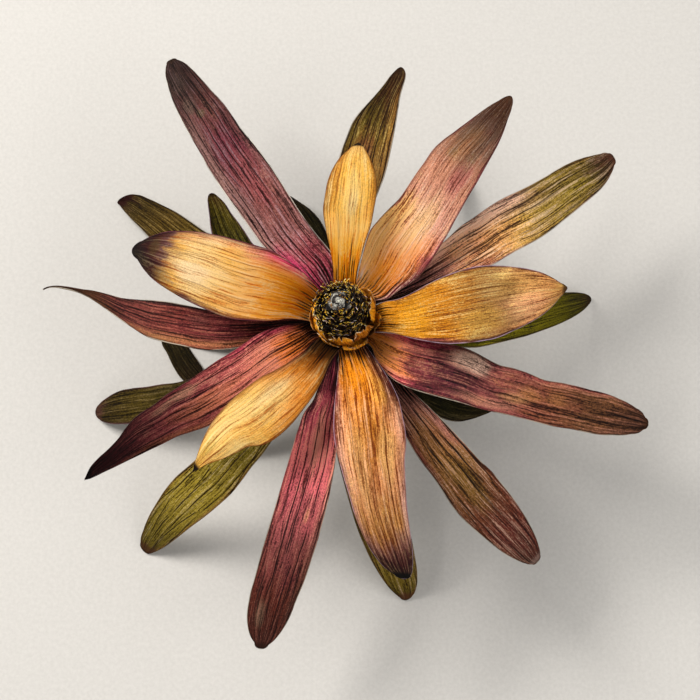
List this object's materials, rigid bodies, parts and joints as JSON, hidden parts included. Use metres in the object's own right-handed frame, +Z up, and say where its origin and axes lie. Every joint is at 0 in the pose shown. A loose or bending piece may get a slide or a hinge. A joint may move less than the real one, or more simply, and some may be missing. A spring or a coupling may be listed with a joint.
{
  "type": "dried leucadendron head",
  "caption": "Dried leucadendron flower head with spreading coloured bracts, olive lower leaves, a dark floret cone and a short cut stem, lying face up.",
  "frame": {"origin": "middle of the overall box's foot, on the surface that the head lies on", "axes": "+Z up, along the stem from its cut end to the cone's apex, and the box's shortest side; +X and +Y lie on the surface, with +Y towards the long bract that crosses behind the shortest one"},
  "size_m": [0.1726, 0.1726, 0.0718],
  "materials": {
    "stem": "matt, dry and ribbed",
    "bract_01": "matt, dried and veined",
    "bract_02": "matt, dried and veined",
    "bract_03": "matt, dried and veined",
    "bract_04": "matt, dried and veined",
    "bract_05": "matt, dried and veined",
    "bract_06": "matt, dried and veined",
    "bract_07": "matt, dried and veined",
    "bract_08": "matt, dried and veined",
    "bract_09": "matt, dried and veined",
    "bract_10": "matt, dried and veined",
    "bract_11": "matt, dried and veined",
    "bract_12": "matt, dried and veined",
    "bract_13": "matt, dried and veined",
    "bract_14": "matt, dried and veined",
    "leaf_01": "matt, dried and veined",
    "leaf_02": "matt, dried and veined",
    "leaf_03": "matt, dried and veined",
    "leaf_04": "matt, dried and veined",
    "leaf_05": "matt, dried and veined",
    "leaf_06": "matt, dried and veined",
    "leaf_07": "matt, dried and veined",
    "leaf_08": "matt, dried and veined",
    "leaf_09": "matt, dried and veined",
    "leaf_10": "matt, dried and veined",
    "leaf_11": "matt, dried and veined",
    "leaf_12": "matt, dried and veined",
    "cone_scale": "matt, papery",
    "floret": "matt, dark with golden tips",
    "apex_tuft": "woolly"
  },
  "bodies": {
    "root": {"stem": "stem", "bract_01": "bract_01", "bract_02": "bract_02", "bract_03": "bract_03", "bract_04": "bract_04", "bract_05": "bract_05", "bract_06": "bract_06", "bract_07": "bract_07", "bract_08": "bract_08", "bract_09": "bract_09", "bract_10": "bract_10", "bract_11": "bract_11", "bract_12": "bract_12", "bract_13": "bract_13", "bract_14": "bract_14", "leaf_01": "leaf_01", "leaf_02": "leaf_02", "leaf_03": "leaf_03", "leaf_04": "leaf_04", "leaf_05": "leaf_05", "leaf_06": "leaf_06", "leaf_07": "leaf_07", "leaf_08": "leaf_08", "leaf_09": "leaf_09", "leaf_10": "leaf_10", "leaf_11": "leaf_11", "leaf_12": "leaf_12", "cone_scale_01": "cone_scale", "cone_scale_02": "cone_scale", "cone_scale_03": "cone_scale", "cone_scale_04": "cone_scale", "cone_scale_05": "cone_scale", "cone_scale_06": "cone_scale", "cone_scale_07": "cone_scale", "cone_scale_08": "cone_scale", "cone_scale_09": "cone_scale", "cone_scale_10": "cone_scale", "cone_scale_11": "cone_scale", "cone_scale_12": "cone_scale", "cone_scale_13": "cone_scale", "cone_scale_14": "cone_scale", "floret_row_1": "floret", "floret_row_2": "floret", "floret_row_3": "floret", "floret_row_4": "floret", "floret_row_5": "floret", "apex_tuft": "apex_tuft"}
  },
  "joints": []
}
